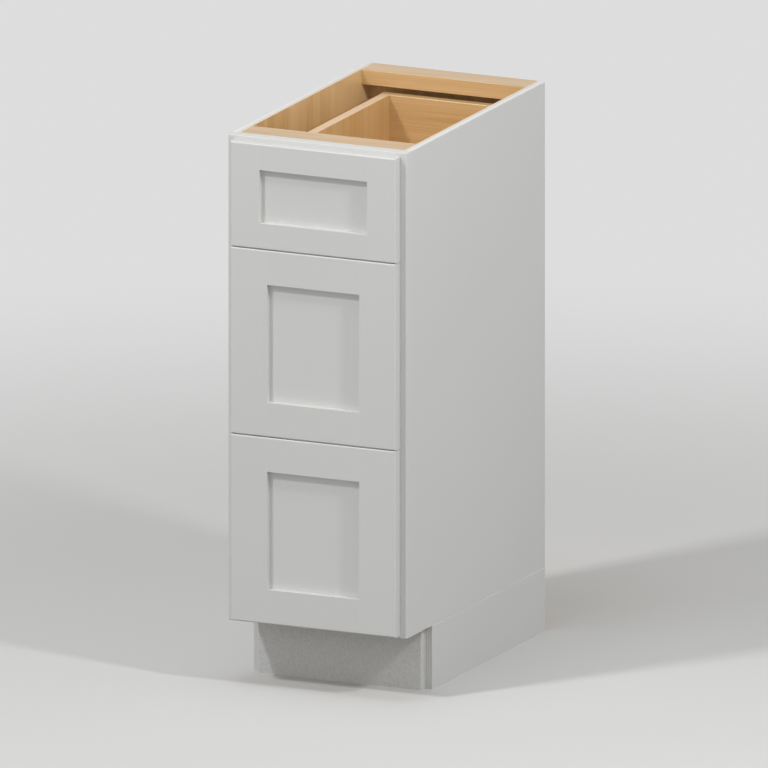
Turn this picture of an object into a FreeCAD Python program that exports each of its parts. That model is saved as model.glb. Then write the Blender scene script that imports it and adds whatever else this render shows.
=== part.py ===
import FreeCAD, Part
import os
import Sketcher

# A narrow three-drawer base cabinet: an open-topped plywood case behind a hardwood face frame, on a
# separate recessed plinth.  Three drawers with five-piece recessed-panel fronts and half-blind
# dovetailed boxes run on three-member telescoping slides.
#
# Frame: +Z up, the drawer fronts face -Y, +X to the right when facing them.  The origin is on the floor
# under the middle of the cabinet, drawer fronts included.  Lengths are in millimetres.

doc = FreeCAD.newDocument("base_cabinet_with_drawers")
sheet = doc.addObject("Spreadsheet::Sheet", "sizes")


# ---------------------------------------------------------------------------------------------------
# Driving dimensions
# ---------------------------------------------------------------------------------------------------

class Length:
    """A length with two faces: its value in millimetres and its expression on the sheet's cells."""

    def __init__(self, text, value):
        self.text = text
        self.value = value

    def join(self, sign, other, value):
        return Length(f"({self.text} {sign} {as_length(other).text})", value)

    def __add__(self, other):
        return self.join("+", other, self.value + as_length(other).value)

    def __sub__(self, other):
        return self.join("-", other, self.value - as_length(other).value)

    def __mul__(self, other):
        return self.join("*", other, self.value * as_length(other).value)

    def __truediv__(self, other):
        return self.join("/", other, self.value / as_length(other).value)

    def __neg__(self):
        return self * -1

    def __rsub__(self, other):
        return as_length(other) - self

    __radd__ = __add__
    __rmul__ = __mul__


def as_length(amount):
    """A plain number becomes a Length, so that both can stand in one formula."""
    return amount if isinstance(amount, Length) else Length(f"({amount})", amount)


def size(alias, value):
    """Put one driving dimension into the next row of the sheet and return it as a Length."""
    row = size.rows = size.rows + 1
    sheet.set(f"A{row}", alias)
    sheet.set(f"B{row}", str(value))
    sheet.setAlias(f"B{row}", alias)
    return Length(f"sizes.{alias}", value)


size.rows = 0

# The whole case.
case_width = size("case_width", 304.8)
case_height = size("case_height", 876.3)
case_depth = size("case_depth", 514.35)          # from the face frame's front to the back
ply_thick = size("ply_thick", 12.7)
joint_depth = size("joint_depth", 6.35)          # of every groove, rabbet and tongue in the case
joint_play = size("joint_play", 0.1)             # glue gap in every joint
arris = size("arris", 0.8)                       # easing of a sawn edge

# The face frame.
frame_thick = size("frame_thick", 19.05)
frame_member = size("frame_member", 38.1)
top_rail_height = size("top_rail_height", 25.4)
tenon_length = size("tenon_length", 12.7)
frame_edge = size("frame_edge", 2.4)             # rounding of the frame's outer front edges

# Rails across the open top.
stretcher_width = size("stretcher_width", 45.5)
stretcher_thick = size("stretcher_thick", 24)

# The plinth.
toe_height = size("toe_height", 101.6)
toe_setback = size("toe_setback", 82.55)         # from the face frame's front to the toe board
block_side = size("block_side", 28)

# The drawer fronts.
front_thick = size("front_thick", 15.875)
front_clearance = size("front_clearance", 0.5)   # behind a closed front
side_reveal = size("side_reveal", 11.5)
top_reveal = size("top_reveal", 6.35)
bottom_reveal = size("bottom_reveal", 4.3)
front_spacing = size("front_spacing", 1)
top_front_height = size("top_front_height", 167.35)
top_stile_width = size("top_stile_width", 49)
top_rail_width = size("top_rail_width", 41.3)
deep_stile_width = size("deep_stile_width", 62.3)
deep_rail_width = size("deep_rail_width", 54.6)
recess_depth = size("recess_depth", 9.525)
rabbet_width = size("rabbet_width", 7)           # of the ledge that holds the panel from behind
front_edge = size("front_edge", 2.4)             # rounding of a front's outer edge

# The drawer boxes.
box_width = size("box_width", 203.2)
box_length = size("box_length", 471)
box_wall = size("box_wall", 15.875)
box_lift = size("box_lift", 21.5)                # from the rail below to the underside of the box
top_box_height = size("top_box_height", 101.6)
deep_box_height = size("deep_box_height", 203.2)
bottom_thick = size("bottom_thick", 6.35)
bottom_rise = size("bottom_rise", 12.7)          # from the box's lower edge to its bottom panel
box_edge = size("box_edge", 1.5)
tail_pitch = size("tail_pitch", 25.4)
tail_length = size("tail_length", 11.1)
tail_tip = size("tail_tip", 17.5)
tail_neck = size("tail_neck", 12)

# The telescoping slides; "reach" is the distance from the frame opening's edge towards the box.
slide_length = size("slide_length", 450)
slide_front = size("slide_front", 4.8)           # behind the face frame's front
slide_rise = size("slide_rise", 44)              # of the slide's middle above the box's lower edge
sheet_steel = size("sheet_steel", 1.2)
lip_height = size("lip_height", 1.6)
outer_half = size("outer_half", 22.6)
outer_reach = size("outer_reach", 9)
middle_half = size("middle_half", 18.2)
middle_start = size("middle_start", 2.4)
middle_reach = size("middle_reach", 10.6)
inner_half = size("inner_half", 13.6)
inner_start = size("inner_start", 5)
spacer_height = size("spacer_height", 60)

# The screws.
screw_head_radius = size("screw_head_radius", 3.8)
screw_head_height = size("screw_head_height", 0.9)
screw_radius = size("screw_radius", 1.75)
screw_play = size("screw_play", 0.1)
slide_screw_length = size("slide_screw_length", 12)
front_screw_length = size("front_screw_length", 24)
screw_from_end = size("screw_from_end", 46)      # from a slide's end to its screw

doc.recompute()

# Planes that several pieces share, worked out from the cells above.
zero = as_length(0)
half_width = case_width / 2
inside = half_width - ply_thick
overall_depth = case_depth + front_clearance + front_thick
back_plane = overall_depth / 2
front_plane = -back_plane
frame_front = front_plane + front_thick + front_clearance
frame_back = frame_front + frame_thick
opening_half = half_width - frame_member
stretcher_under = case_height - stretcher_thick
floor_top = toe_height + frame_member
floor_under = floor_top - ply_thick
toe_front = frame_front + toe_setback
toe_back = toe_front + ply_thick

# Heights of the fronts: the top one is given and the two deep ones share what is left.
deep_front_height = (case_height - toe_height - top_reveal - bottom_reveal
                     - front_spacing * 2 - top_front_height) / 2
upper_gap = case_height - top_reveal - top_front_height - front_spacing / 2
lower_gap = upper_gap - front_spacing - deep_front_height

# Left and right, as the sign of X.
SIDES = (("left", -1), ("right", 1))


# ---------------------------------------------------------------------------------------------------
# Sketching and solid-making helpers
# ---------------------------------------------------------------------------------------------------

def new_body(label):
    """An empty sub-part; its label becomes its node and file name."""
    body = doc.addObject("PartDesign::Body", label)
    body.Label = label
    return body


def origin_feature(body, role):
    """One of the body's own base planes or axes, found by its role."""
    return next(item for item in body.Origin.OriginFeatures if item.Role == role)


def place_sketch(body, plane, position):
    """An empty sketch parallel to a base plane, at a position along the matching world axis."""
    sketch = body.newObject("Sketcher::SketchObject", "Outline")
    sketch.AttachmentSupport = (origin_feature(body, plane + "_Plane"), [""])
    sketch.MapMode = "FlatFace"
    along = -position if plane == "XZ" else position      # the XZ plane's normal is -Y
    sketch.setExpression("AttachmentOffset.Base.z", along.text)
    return sketch


def fix(sketch, kind, element, point, length):
    """A driven dimension of one sketch point or circle."""
    if point is None:
        index = sketch.addConstraint(Sketcher.Constraint(kind, element, length.value))
    else:
        index = sketch.addConstraint(Sketcher.Constraint(kind, element, point, length.value))
    sketch.setExpression(f"Constraints[{index}]", length.text)


def draw_loop(sketch, corners):
    """A closed outline of straight lines, every corner fixed to its two coordinates."""
    corners = [(as_length(across), as_length(up)) for across, up in corners]
    points = [FreeCAD.Vector(across.value, up.value, 0) for across, up in corners]
    first = sketch.GeometryCount
    count = len(corners)
    for i in range(count):
        sketch.addGeometry(Part.LineSegment(points[i], points[(i + 1) % count]))
    for i in range(count):
        sketch.addConstraint(Sketcher.Constraint("Coincident", first + i, 2, first + (i + 1) % count, 1))
    for i, (across, up) in enumerate(corners):
        fix(sketch, "DistanceX", first + i, 1, across)
        fix(sketch, "DistanceY", first + i, 1, up)


def draw_circle(sketch, centre, radius):
    """A circle at two driven coordinates with a driven radius."""
    across, up = as_length(centre[0]), as_length(centre[1])
    middle = FreeCAD.Vector(across.value, up.value, 0)
    index = sketch.addGeometry(Part.Circle(middle, FreeCAD.Vector(0, 0, 1), radius.value))
    fix(sketch, "Radius", index, None, radius)
    fix(sketch, "DistanceX", index, 3, across)
    fix(sketch, "DistanceY", index, 3, up)


def rectangle(low_across, high_across, low_up, high_up):
    """The corners of an upright rectangle."""
    return [(low_across, low_up), (high_across, low_up), (high_across, high_up), (low_across, high_up)]


def draw(sketch, loops, circles=()):
    """Draw closed outlines and circles into one sketch."""
    for corners in loops:
        draw_loop(sketch, corners)
    for centre, radius in circles:
        draw_circle(sketch, centre, radius)


def add(body, plane, loops, low, high):
    """Pad outlines drawn on a plane from low to high along the world axis that crosses it."""
    low, high = as_length(low), as_length(high)
    sketch = place_sketch(body, plane, high if plane == "XZ" else low)
    draw(sketch, loops)
    pad = body.newObject("PartDesign::Pad", "Pad")
    pad.Profile = sketch
    pad.setExpression("Length", (high - low).text)
    doc.recompute()
    return pad


def cut(body, plane, loops, low, high, circles=()):
    """Pocket outlines out of the body from low to high along the world axis that crosses the plane."""
    low, high = as_length(low), as_length(high)
    before = body.Shape.Volume
    sketch = place_sketch(body, plane, low if plane == "XZ" else high)
    draw(sketch, loops, circles)
    pocket = body.newObject("PartDesign::Pocket", "Pocket")
    pocket.Profile = sketch
    pocket.setExpression("Length", (high - low).text)
    doc.recompute()
    if body.Shape.Volume > before - 1e-3:
        raise RuntimeError(f"a pocket in {body.Label} cuts nothing")
    return pocket


def repeat_upwards(body, feature, pitch, height):
    """Repeat a feature along +Z, one for every pitch that the height holds."""
    before = body.Shape.Volume
    pattern = body.newObject("PartDesign::LinearPattern", "Pattern")
    pattern.Originals = [feature]
    pattern.Direction = (origin_feature(body, "Z_Axis"), [""])
    pattern.setExpression("Length", (height - pitch).text)
    pattern.setExpression("Occurrences", f"round({height.text} / {pitch.text})")
    body.Tip = pattern
    doc.recompute()
    if abs(body.Shape.Volume - before) < 1e-3:
        raise RuntimeError(f"a pattern in {body.Label} repeats nothing")


def ease(body, radius, *tests, kind="Fillet"):
    """Round, or with kind "Chamfer" bevel, every edge whose two ends pass one of the tests."""
    solid = body.Tip
    names = []
    for number, edge in enumerate(solid.Shape.Edges, 1):
        ends = [vertex.Point for vertex in edge.Vertexes]
        if len(ends) == 2 and any(all(test(end) for end in ends) for test in tests):
            names.append(f"Edge{number}")
    if not names:
        raise RuntimeError(f"no edge of {body.Label} to ease")
    eased = body.newObject(f"PartDesign::{kind}", kind)
    eased.Base = (solid, names)
    eased.setExpression("Radius" if kind == "Fillet" else "Size", radius.text)
    doc.recompute()


def bevel(body, *tests):
    """Take the sharpness off sawn edges with a narrow bevel."""
    ease(body, arris, *tests, kind="Chamfer")


def at(**planes):
    """A test for points that lie on all the named coordinate planes, such as at(x=inside, z=zero)."""
    wanted = [("xyz".index(axis), as_length(position).value) for axis, position in planes.items()]
    return lambda point: all(abs(point[axis] - value) < 1e-4 for axis, value in wanted)


def lift(body, height):
    """Carry a finished body up to its own height in the case."""
    body.setExpression("Placement.Base.z", height.text)


def group(label, members):
    """Several separate solids of one kind that share one node."""
    node = doc.addObject("Part::Compound", label)
    node.Label = label
    node.Links = members
    return node


nodes = []


def keep(*pieces):
    """Enter finished pieces in the list of nodes that are written out."""
    nodes.extend(pieces)


# ---------------------------------------------------------------------------------------------------
# The case
# ---------------------------------------------------------------------------------------------------

def side_panel(name, sign):
    """Plywood side: a tongue along its front edge enters the frame stile, a groove holds the floor and
    a rabbet at the rear holds the back panel, up to the underside of the rear stretcher."""
    body = new_body(f"side_panel_{name}")
    tongue_in = inside + ply_thick / 4
    tongue_out = half_width - ply_thick / 4
    plan = [(inside, frame_back), (tongue_in, frame_back),
            (tongue_in, frame_back - joint_depth), (tongue_out, frame_back - joint_depth),
            (tongue_out, frame_back), (half_width, frame_back),
            (half_width, back_plane), (inside, back_plane)]
    add(body, "XY", [mirrored(plan, sign)], toe_height, case_height)
    low, high = between(sign, inside - 1, inside + joint_depth)
    floor_groove = rectangle(frame_back - joint_depth - 1, back_plane + 1,
                             floor_under - joint_play, floor_top + joint_play)
    back_rabbet = rectangle(back_plane - ply_thick - joint_play, back_plane + 1,
                            toe_height - 1, stretcher_under)
    cut(body, "YZ", [floor_groove], low, high)
    cut(body, "YZ", [back_rabbet], low, high)
    outer = half_width * sign
    bevel(body, at(x=outer, z=toe_height), at(x=outer, z=case_height), at(x=outer, y=back_plane))
    return body


def mirrored(corners, sign):
    """The same outline on the other side of X = 0."""
    return [(across * sign, up) for across, up in corners]


def between(sign, near, far):
    """The two ends of a stretch along X, lower first, on the side that the sign names."""
    return (near, far) if sign > 0 else (-far, -near)


def floor_panel():
    """Case bottom, let into both sides, from the face frame to the back panel."""
    body = new_body("floor_panel")
    reach = inside + joint_depth - joint_play
    outline = rectangle(-reach, reach, frame_back, back_plane - ply_thick)
    add(body, "XY", [outline], floor_under, floor_top)
    return body


def back_panel():
    """Back, let into the rabbets of the sides and closed at the top by the rear stretcher."""
    body = new_body("back_panel")
    reach = inside + joint_depth - joint_play
    add(body, "XZ", [rectangle(-reach, reach, toe_height, stretcher_under)],
        back_plane - ply_thick, back_plane)
    return body


def stretcher(label, low, high, eased):
    """Solid wood rail between the sides, flush with their top edges."""
    body = new_body(label)
    add(body, "XY", [rectangle(-inside, inside, low, high)], stretcher_under, case_height)
    bevel(body, at(y=eased, z=case_height), at(y=eased, z=stretcher_under))
    return body


# The rails of the face frame: lowest and highest Z of each.
RAILS = {
    "frame_top_rail": (case_height - top_rail_height, case_height),
    "frame_upper_mid_rail": (upper_gap - frame_member / 2, upper_gap + frame_member / 2),
    "frame_lower_mid_rail": (lower_gap - frame_member / 2, lower_gap + frame_member / 2),
    "frame_bottom_rail": (toe_height, toe_height + frame_member),
}


def tenon_span(low, high):
    """A tenon is shouldered by one joint depth above and below."""
    return low + joint_depth, high - joint_depth


def frame_stile(name, sign):
    """Face frame upright: grooved behind for the side panel, with a mortise for each rail's tenon."""
    body = new_body(f"frame_stile_{name}")
    groove_in = inside + ply_thick / 4 - joint_play
    groove_out = half_width - ply_thick / 4 + joint_play
    groove_front = frame_back - joint_depth - joint_play
    plan = [(opening_half, frame_front), (half_width, frame_front), (half_width, frame_back),
            (groove_out, frame_back), (groove_out, groove_front),
            (groove_in, groove_front), (groove_in, frame_back), (opening_half, frame_back)]
    add(body, "XY", [mirrored(plan, sign)], toe_height, case_height)
    mortises = []
    for low, high in RAILS.values():
        foot, head = tenon_span(low, high)
        mortises.append(rectangle(frame_front + frame_thick / 3 - joint_play,
                                  frame_back - frame_thick / 3 + joint_play,
                                  foot - joint_play, head + joint_play))
    low, high = between(sign, opening_half - 1, opening_half + tenon_length + joint_play)
    cut(body, "YZ", mortises, low, high)
    outer = half_width * sign
    ease(body, frame_edge, at(x=outer, y=frame_front))
    bevel(body, at(y=frame_front, z=toe_height), at(y=frame_front, z=case_height))
    return body


def frame_rail(label):
    """Face frame rail with a shouldered tenon at each end."""
    low, high = RAILS[label]
    foot, head = tenon_span(low, high)
    body = new_body(label)
    add(body, "XZ", [rectangle(-opening_half, opening_half, low, high)], frame_front, frame_back)
    reach = opening_half + tenon_length
    add(body, "XZ", [rectangle(-reach, reach, foot, head)],
        frame_front + frame_thick / 3, frame_back - frame_thick / 3)
    bevel(body, at(y=frame_front, z=low), at(y=frame_front, z=high))
    return body


def make_case():
    for name, sign in SIDES:
        keep(side_panel(name, sign), frame_stile(name, sign))
    for label in RAILS:
        keep(frame_rail(label))
    keep(floor_panel(), back_panel())
    keep(stretcher("front_stretcher", frame_back, frame_back + stretcher_width,
                   frame_back + stretcher_width))
    keep(stretcher("back_stretcher", back_plane - stretcher_width, back_plane,
                   back_plane - stretcher_width))


# ---------------------------------------------------------------------------------------------------
# The plinth
# ---------------------------------------------------------------------------------------------------

def plinth_side(name, sign):
    """Side of the base, flush with the case's side."""
    body = new_body(f"plinth_side_{name}")
    low, high = between(sign, inside, half_width)
    add(body, "YZ", [rectangle(toe_back, back_plane, 0, toe_height)], low, high)
    outer = half_width * sign
    bevel(body, at(x=outer, z=toe_height), at(x=outer, y=toe_back))
    return body


def plinth_rail(label, low):
    """Cross member between the plinth sides."""
    body = new_body(label)
    add(body, "XY", [rectangle(-inside, inside, low, low + ply_thick)], 0, toe_height)
    return body


def toe_board():
    """Painted board on the face of the front plinth rail, its ends eased."""
    body = new_body("toe_board")
    add(body, "XY", [rectangle(-inside, inside, toe_front, toe_back)], 0, toe_height)
    ease(body, frame_edge, at(x=inside, y=toe_front), at(x=-inside, y=toe_front))
    return body


def plinth_corner_blocks():
    """Four three-cornered glue blocks that stand in the corners and reach up to the case floor."""
    members = []
    front = toe_back + ply_thick
    rear = back_plane - ply_thick
    for name, sign in SIDES:
        for end, corner, away in (("front", front, 1), ("rear", rear, -1)):
            body = new_body(f"block_{end}_{name}")
            outline = [(inside, corner), (inside, corner + block_side * away), (inside - block_side, corner)]
            add(body, "XY", [mirrored(outline, sign)], joint_depth, floor_under)
            members.append(body)
    return group("plinth_corner_blocks", members)


def make_plinth():
    for name, sign in SIDES:
        keep(plinth_side(name, sign))
    keep(toe_board(), plinth_rail("plinth_front_rail", toe_back),
         plinth_rail("plinth_rear_rail", back_plane - ply_thick), plinth_corner_blocks())


# ---------------------------------------------------------------------------------------------------
# The telescoping slides
# ---------------------------------------------------------------------------------------------------

slide_start = frame_front + slide_front
slide_end = slide_start + slide_length
box_half = box_width / 2
SCREW_PLACES = (slide_start + screw_from_end, slide_end - screw_from_end * 2)


def channel(label, sign, web, mouth, half, holes):
    """Lipped steel channel along Y: its web stands at one distance from the middle of the cabinet, its
    two lips end at another, and its height is twice half, about the slide's own middle line."""
    inward = 1 if mouth.value > web.value else -1
    wall = sheet_steel * inward
    lip = half - sheet_steel - lip_height
    section = []
    for up in (-1, 1):
        flange = [(web, half * up), (mouth, half * up), (mouth, lip * up), (mouth - wall, lip * up),
                  (mouth - wall, (half - sheet_steel) * up), (web + wall, (half - sheet_steel) * up)]
        section += flange if up < 0 else flange[::-1]
    body = new_body(label)
    add(body, "XZ", [mirrored(section, sign)], slide_start, slide_end)
    if holes:
        low, high = sorted((web, web + wall), key=lambda length: length.value)
        low, high = between(sign, low, high)
        circles = [((place, zero), screw_radius + screw_play) for place in SCREW_PLACES]
        cut(body, "YZ", [], low, high, circles)
    return body


def slide_members(label, parts_of, level, web, mouth, half, holes):
    """The left and right channel of one kind at one drawer's level."""
    members = []
    for name, sign in SIDES:
        body = channel(f"{label}_{parts_of}_{name}", sign, web, mouth, half, holes)
        lift(body, level)
        members.append(body)
    return members


def spacer(drawer, name, sign, level):
    """Hardwood strip that brings a slide out to the edge of the frame opening."""
    body = new_body(f"spacer_{drawer}_{name}")
    low, high = between(sign, opening_half, inside)
    outline = rectangle(frame_back, back_plane - ply_thick, -spacer_height / 2, spacer_height / 2)
    add(body, "YZ", [outline], low, high)
    lift(body, level)
    return body


def screw(label, length):
    """Low-headed screw along +Z from the underside of its head at the origin, with few flat faces
    because it is repeated."""
    head = prism(label + "_head", 12, screw_head_radius, screw_head_height)
    head.setExpression("Placement.Base.z", (-screw_head_height).text)
    shank = prism(label + "_shank", 8, screw_radius, length)
    whole = doc.addObject("Part::Fuse", label)
    whole.Base = head
    whole.Tool = shank
    doc.recompute()
    return whole


def prism(label, sides, radius, height):
    """Upright prism with its corners on a circle."""
    solid = doc.addObject("Part::Prism", label)
    solid.Polygon = sides
    solid.setExpression("Circumradius", radius.text)
    solid.setExpression("Height", height.text)
    return solid


def screw_set(label, places):
    """Copies of screws in one node; each place is (screw, position, direction)."""
    solids = []
    for original, position, direction in places:
        turn = FreeCAD.Rotation(FreeCAD.Vector(0, 0, 1), FreeCAD.Vector(*direction))
        copy = original.Shape.copy()
        copy.Placement = FreeCAD.Placement(FreeCAD.Vector(*[length.value for length in position]), turn)
        solids.append(copy)
    node = doc.addObject("Part::Feature", label)
    node.Shape = Part.makeCompound(solids)
    node.Label = label
    return node


# ---------------------------------------------------------------------------------------------------
# The drawers
# ---------------------------------------------------------------------------------------------------

class Drawer:
    """Heights and widths of one drawer, from its name and the rail or floor under its box."""

    def __init__(self, name, rest, box_height, front_low, front_high, stile, rail):
        self.name = name
        self.box_low = rest + box_lift
        self.box_height = box_height
        self.front_low = front_low
        self.front_high = front_high
        self.stile = stile
        self.rail = rail
        self.slide_level = self.box_low + slide_rise

    def label(self, piece):
        return f"{self.name}_drawer_{piece}"


DRAWERS = (
    Drawer("top", upper_gap + frame_member / 2, top_box_height,
           upper_gap + front_spacing / 2, case_height - top_reveal, top_stile_width, top_rail_width),
    Drawer("middle", lower_gap + frame_member / 2, deep_box_height,
           lower_gap + front_spacing / 2, upper_gap - front_spacing / 2,
           deep_stile_width, deep_rail_width),
    Drawer("bottom", floor_top, deep_box_height,
           toe_height + bottom_reveal, lower_gap - front_spacing / 2, deep_stile_width, deep_rail_width),
)

box_front = front_plane + front_thick
box_back = box_front + box_length
box_front_inner = box_front + box_wall
box_back_inner = box_back - box_wall
box_inside = box_half - box_wall


def tail(shoulder, toward, play):
    """One dovetail in the YZ plane, widening from its neck at the shoulder to its tip."""
    tip = shoulder + (tail_length + play) * toward
    middle = tail_pitch / 2
    neck_half = tail_neck / 2 + play
    tip_half = tail_tip / 2 + play
    return [(shoulder, middle - neck_half), (tip, middle - tip_half),
            (tip, middle + tip_half), (shoulder, middle + neck_half)]


def bottom_groove(body):
    """The groove that the drawer's bottom panel sits in, cut by the panel's own outline."""
    reach = box_inside + joint_depth
    outline = rectangle(-reach, reach, box_front_inner - joint_depth, box_back_inner + joint_depth)
    cut(body, "XY", [outline], bottom_rise - joint_play, bottom_rise + bottom_thick + joint_play)


def box_side(drawer, name, sign):
    """Drawer side with a row of dovetails at both ends."""
    body = new_body(drawer.label(f"box_side_{name}"))
    low, high = between(sign, box_inside, box_half)
    add(body, "YZ", [rectangle(box_front_inner, box_back_inner, 0, drawer.box_height)], low, high)
    tails = add(body, "YZ", [tail(box_front_inner, -1, zero), tail(box_back_inner, 1, zero)], low, high)
    repeat_upwards(body, tails, tail_pitch, drawer.box_height)
    bottom_groove(body)
    top = drawer.box_height
    ease(body, box_edge, at(x=box_inside * sign, z=top), at(x=box_half * sign, z=top))
    lift(body, drawer.box_low)
    return body


def front_screw_places(drawer):
    """X and Z, from the box's lower edge, of the screws that hold the front to the box: in the upper
    rail of a shallow front, and in both stiles of a deep one."""
    if drawer.name == "top":
        height = top_box_height - screw_head_radius * 1.5
        return [(opening_half / 2 * sign, height) for name, sign in SIDES]
    across = box_inside - screw_head_radius - 1
    heights = (deep_box_height / 4, deep_box_height * 3 / 4)
    return [(across * sign, height) for name, sign in SIDES for height in heights]


def box_end(drawer, piece, outer, shoulder, toward):
    """Drawer box front or back, with a socket for every dovetail; the thin lap that closes the sockets
    hides them from the outside."""
    body = new_body(drawer.label(piece))
    low, high = (outer, shoulder) if toward < 0 else (shoulder, outer)
    add(body, "XZ", [rectangle(-box_half, box_half, 0, drawer.box_height)], low, high)
    for name, sign in SIDES:
        low, high = between(sign, box_inside, box_half + 1)
        sockets = cut(body, "YZ", [tail(shoulder, toward, joint_play)], low, high)
        repeat_upwards(body, sockets, tail_pitch, drawer.box_height)
    bottom_groove(body)
    top = drawer.box_height
    ease(body, box_edge, at(y=outer, z=top), at(y=shoulder, z=top))
    lift(body, drawer.box_low)
    return body


def box_bottom(drawer):
    """Thin panel held in the grooves on all four sides."""
    body = new_body(drawer.label("box_bottom"))
    reach = box_inside + joint_depth - joint_play
    outline = rectangle(-reach, reach, box_front_inner - joint_depth + joint_play,
                        box_back_inner + joint_depth - joint_play)
    add(body, "XY", [outline], bottom_rise, bottom_rise + bottom_thick)
    lift(body, drawer.box_low)
    return body


front_half = half_width - side_reveal
ledge_plane = front_plane + recess_depth
front_back = front_plane + front_thick


def front_stile(drawer, name, sign):
    """Upright of a drawer front, rabbeted behind for the rails' ends and the panel."""
    body = new_body(drawer.label(f"front_stile_{name}"))
    edge = front_half - drawer.stile
    plan = [(edge, front_plane), (front_half, front_plane), (front_half, front_back),
            (edge + rabbet_width, front_back), (edge + rabbet_width, ledge_plane), (edge, ledge_plane)]
    add(body, "XY", [mirrored(plan, sign)], drawer.front_low, drawer.front_high)
    ease(body, front_edge, at(x=front_half * sign, y=front_plane),
         at(y=front_plane, z=drawer.front_low), at(y=front_plane, z=drawer.front_high))
    return body


def front_rail(drawer, place):
    """Cross piece of a drawer front; its rear half runs on into the stiles' rabbets and is itself
    rabbeted for the panel."""
    body = new_body(drawer.label(f"front_{place}_rail"))
    edge = front_half - drawer.stile
    if place == "top":
        outer, inner = drawer.front_high, drawer.front_high - drawer.rail
        ledge = inner + rabbet_width
    else:
        outer, inner = drawer.front_low, drawer.front_low + drawer.rail
        ledge = inner - rabbet_width
    reach = edge + rabbet_width - joint_play
    low, high = sorted((outer, inner), key=lambda length: length.value)
    add(body, "XZ", [rectangle(-edge, edge, low, high)], front_plane, ledge_plane)
    low, high = sorted((outer, ledge), key=lambda length: length.value)
    add(body, "XZ", [rectangle(-reach, reach, low, high)], ledge_plane, front_back)
    ease(body, front_edge, at(y=front_plane, z=outer))
    return body


def front_panel(drawer):
    """Flat panel let in from behind, flush with the back of the front."""
    body = new_body(drawer.label("front_panel"))
    reach = front_half - drawer.stile + rabbet_width - joint_play
    low = drawer.front_low + drawer.rail - rabbet_width + joint_play
    high = drawer.front_high - drawer.rail + rabbet_width - joint_play
    add(body, "XZ", [rectangle(-reach, reach, low, high)], ledge_plane, front_back)
    return body


def make_drawer(drawer):
    for name, sign in SIDES:
        keep(box_side(drawer, name, sign), front_stile(drawer, name, sign))
    keep(box_end(drawer, "box_front", box_front, box_front_inner, -1),
         box_end(drawer, "box_back", box_back, box_back_inner, 1))
    keep(box_bottom(drawer), front_rail(drawer, "top"), front_rail(drawer, "bottom"),
         front_panel(drawer))
    inner = slide_members("inner", drawer.name, drawer.slide_level, box_half,
                          opening_half - inner_start, inner_half, True)
    keep(group(drawer.label("slide_inner_members"), inner))
    middle = slide_members("middle", drawer.name, drawer.slide_level, opening_half - middle_start,
                           opening_half - middle_reach, middle_half, False)
    keep(group(drawer.label("slide_middle_members"), middle))


def make_slide_mounts():
    """The fixed halves of the slides with the strips that carry them."""
    outer, strips = [], []
    for drawer in DRAWERS:
        outer += slide_members("outer", drawer.name, drawer.slide_level, opening_half,
                               opening_half - outer_reach, outer_half, True)
        strips += [spacer(drawer.name, name, sign, drawer.slide_level) for name, sign in SIDES]
    keep(group("slide_outer_members", outer), group("slide_spacers", strips))


def make_screws():
    """Every screw, gathered by the body that it belongs to."""
    short = screw("short_screw", slide_screw_length - sheet_steel)
    long = screw("long_screw", front_screw_length)
    fixed = []
    for drawer in DRAWERS:
        moving = []
        for name, sign in SIDES:
            for place in SCREW_PLACES:
                web = (opening_half - sheet_steel) * sign
                fixed.append((short, (web, place, drawer.slide_level), (sign, 0, 0)))
                web = (box_half + sheet_steel) * sign
                moving.append((short, (web, place, drawer.slide_level), (-sign, 0, 0)))
        for across, height in front_screw_places(drawer):
            moving.append((long, (across, box_front_inner, drawer.box_low + height), (0, -1, 0)))
        keep(screw_set(drawer.label("screws"), moving))
    keep(screw_set("slide_outer_screws", fixed))


# ---------------------------------------------------------------------------------------------------
# Build, test and write
# ---------------------------------------------------------------------------------------------------

make_case()
make_plinth()
for each in DRAWERS:
    make_drawer(each)
make_slide_mounts()
make_screws()
doc.recompute()

for item in doc.Objects:
    if "Invalid" in item.State or "Error" in item.State:
        raise RuntimeError(f"{item.Label} failed: {item.State}")
for node in nodes:
    if node.Shape.isNull() or not node.Shape.isValid():
        raise RuntimeError(f"{node.Label} has no valid shape")

os.makedirs("parts", exist_ok=True)
for node in nodes:
    node.Shape.exportStep(f"parts/{node.Label}.step")
    print(f"{node.Label}: {len(node.Shape.Solids)} solid(s), {node.Shape.Volume / 1000:.1f} cm3")
print(f"{len(nodes)} nodes")
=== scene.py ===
# %% [markdown]
# # A narrow base cabinet with three drawers
#
# The cabinet's solids come ready made, cut to size in a frame that says where each one sits and which
# body it moves with. This lesson gives every surface its finish and adds the small metal pieces that
# were left plain: threaded screws with a driven recess, and rows of steel balls in their carriers. The
# first cell loads the frame and clears what a new file may hold.

# %% Load the frame
import math

import bmesh
import bpy
import numpy as np
from mathutils import Matrix, Vector


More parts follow.
